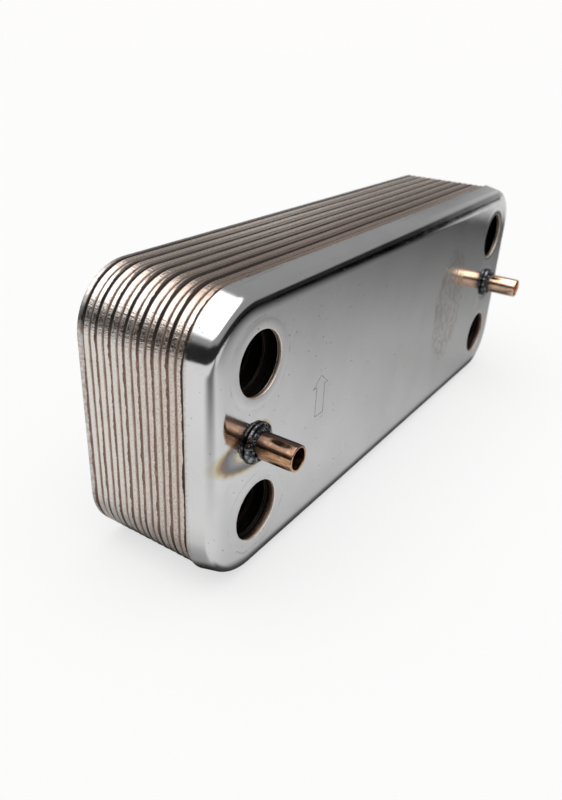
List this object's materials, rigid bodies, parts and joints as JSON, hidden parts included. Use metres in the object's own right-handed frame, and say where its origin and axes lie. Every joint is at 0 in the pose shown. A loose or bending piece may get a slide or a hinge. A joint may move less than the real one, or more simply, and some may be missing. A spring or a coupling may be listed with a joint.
{
  "type": "brazed plate heat exchanger",
  "caption": "Brazed stack of thin herringbone plates between a ported front cover and a blind rear cover, with hollow copper studs.",
  "frame": {"origin": "centre of the front cover's outer face, which is the flat face that carries the ports and studs", "axes": "+X along the plates' length, +Z across their width (up as it stands on its long side), +Y into the stack; the ports open towards -Y"},
  "size_m": [0.1906, 0.0521, 0.0754],
  "materials": {
    "stainless_cover": "bright cold-rolled stainless sheet with fine scratches and straw to blue heat tint at the welds",
    "stainless_plate": "thin pressed stainless sheet, bright, slightly dulled by the brazing furnace",
    "braze": "rough copper braze metal, brown with pinkish copper spots",
    "copper": "bright drawn copper with fine lengthwise streaks",
    "weld": "lumpy welded metal, dark oxide with bright spots"
  },
  "bodies": {
    "root": {"front_cover": "stainless_cover", "rear_cover": "stainless_cover", "stud_left": "copper", "stud_right": "copper", "weld_bead_left": "weld", "weld_bead_right": "weld", "port_spacer_left": "copper", "port_spacer_right": "copper", "channel_plate_01": "stainless_plate", "channel_plate_02": "stainless_plate", "channel_plate_03": "stainless_plate", "channel_plate_04": "stainless_plate", "channel_plate_05": "stainless_plate", "channel_plate_06": "stainless_plate", "channel_plate_07": "stainless_plate", "channel_plate_08": "stainless_plate", "channel_plate_09": "stainless_plate", "channel_plate_10": "stainless_plate", "channel_plate_11": "stainless_plate", "channel_plate_12": "stainless_plate", "channel_plate_13": "stainless_plate", "channel_plate_14": "stainless_plate", "braze_seam_01": "braze", "braze_seam_02": "braze", "braze_seam_03": "braze", "braze_seam_04": "braze", "braze_seam_05": "braze", "braze_seam_06": "braze", "braze_seam_07": "braze", "braze_seam_08": "braze", "braze_seam_09": "braze", "braze_seam_10": "braze", "braze_seam_11": "braze", "braze_seam_12": "braze", "braze_seam_13": "braze", "braze_seam_14": "braze", "braze_seam_15": "braze"}
  },
  "joints": []
}
